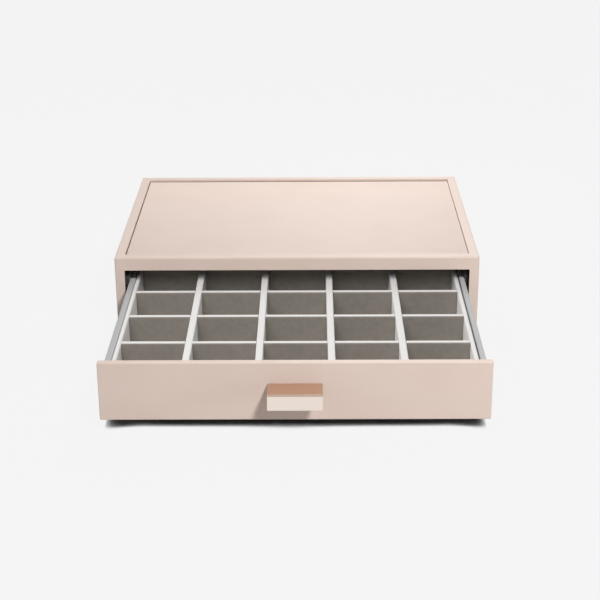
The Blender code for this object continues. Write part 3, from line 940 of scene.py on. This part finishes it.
def aim_lights():
    """Give the tray and the top lights of their own, so that the key throws no shadows there."""
    boards = ("long_board", "cross_board", "tray_wall")
    tray = [made for made in bpy.data.objects if made.name.startswith(boards)]
    tray.append(frame["nodes"]["tray_base"])
    pull, top, paper = [
        bpy.data.objects[name] for name in ("sheet_pull", "top_board", "paper_floor")
    ]
    aim_light("tray_light", tray, "INCLUDE")
    aim_light("top_light", [top], "INCLUDE")
    aim_light("key_light", [*tray, pull, top], "EXCLUDE")
    aim_light("card_light", [*tray, pull, paper], "EXCLUDE")


def studio_sky():
    """Light from all round, more from some sides than from others. The camera sees plain paper."""
    world = bpy.data.worlds.new("studio")
    bpy.context.scene.world = world
    sky = Tree(world)
    sky.nodes.clear()
    across, depth, height = sky.parts(sky.node("ShaderNodeTexCoord", output="Generated"))
    seen = sky.node("ShaderNodeLightPath", output="Is Camera Ray")
    glossy = seen.beside("Is Glossy Ray")
    strength = sky.lobe(0 - depth) * SKY_FRONT + sky.lobe(depth) * SKY_REAR
    strength = strength + sky.lobe(0 - across) * SKY_LEFT
    strength = strength + sky.lobe(height) * glossy * SKY_GLOSS
    room = sky.node("ShaderNodeBackground", inputs={"Strength": strength})
    paper = sky.node("ShaderNodeBackground", inputs={"Color": (*PAPER, 1.0)})
    sky.node("ShaderNodeOutputWorld", inputs={"Surface": sky.layered(seen, room, paper)})


def floor_paper():
    """Paper that glows where it is seen, but not where the object covers it closely.

    There it is painted darker, as shadow.
    """
    material = bpy.data.materials.new("paper")
    made = Tree(material)
    made.nodes.clear()
    across, depth = made.parts(made.place())[:2]
    low, high = cad_bounds
    middle = (low[Y] + high[Y]) / 2
    reach = high[Y] - middle
    beside = made.steps(abs(across), high[X], high[X] + CONTACT_MARGIN, 1.0, 0.0)
    within = made.steps(abs(depth - middle), reach, reach + CONTACT_MARGIN, 1.0, 0.0)

    sampling = {"samples": CONTACT_SAMPLES}
    around = {"Distance": CONTACT_REACH}
    openness = made.node("ShaderNodeAmbientOcclusion", sampling, around, "AO")
    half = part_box("drawer_front")[1].x
    # The painted shadow is made darker near the ends of the drawer front
    ends = made.steps(abs(across), half - CONTACT_ENDS, half, 0.0, CONTACT_END_SHARE)
    ends = ends * made.steps(abs(across), half - CONTACT_END_FADE, half, 1.0, 0.0)
    # Painted shadow: where the paper is covered closely it is darker and glows less
    clear = made.steps(openness * (1 - ends), CONTACT_DARK, CONTACT_CLEAR)

    glow = made.node("ShaderNodeEmission", inputs={"Color": (*PAPER, 1.0)})
    bare = made.layered(FLOOR_GLOW_SHARE, made.diffuse([FLOOR_ALBEDO] * 3), glow)
    shade = made.diffuse(made.blend(clear, [CONTACT_SHADOW_ALBEDO] * 3, [FLOOR_ALBEDO] * 3))
    covered = made.layered(clear * FLOOR_GLOW_SHARE, shade, glow)
    shown = made.layered(beside * within, bare, covered)
    eye = made.node("ShaderNodeLightPath", output="Is Camera Ray")
    seen = eye + eye.beside("Is Glossy Ray")
    mixed = made.layered(seen, made.diffuse([FLOOR_BOUNCE] * 3), shown)
    made.node("ShaderNodeOutputMaterial", inputs={"Surface": mixed})
    return material


def floor():
    bpy.ops.object.select_all(action="DESELECT")
    bpy.ops.mesh.primitive_plane_add(size=2 * FLOOR_HALF)
    sheet = bpy.context.active_object
    sheet.name = "paper_floor"
    sheet.data.materials.append(floor_paper())


def build():
    bpy.context.scene.view_settings.view_transform = "Standard"
    camera()
    studio_lights()
    studio_sky()
    floor()
    cover = leatherette()
    pale = suede("tray_suede", SUEDE_DEEP, SUEDE_PALE, SUEDE_TIPS)
    grey = suede("grey_suede", GREY_DEEP, GREY_PALE, GREY_TIPS)
    case_wrap(cover)
    case_boards(cover)
    front_board(cover)
    drawer_walls(grey)
    tray_walls(pale)
    dividers(pale)
    sheet_pull(rose_gold())
    refinish(pale, "tray_suede", "tray_base")
    refinish(grey, "grey_suede", "drawer_back", "drawer_bottom")
    refinish(
        felt(), "charcoal_felt",
        "base_pad", "left_guide", "right_guide", "left_kicker", "right_kicker",
        "left_stop_block", "right_stop_block", "left_glide", "right_glide",
    )
    refinish(plated_steel(), "screw_steel", "handle_screw_left", "handle_screw_right")
    aim_lights()


build()
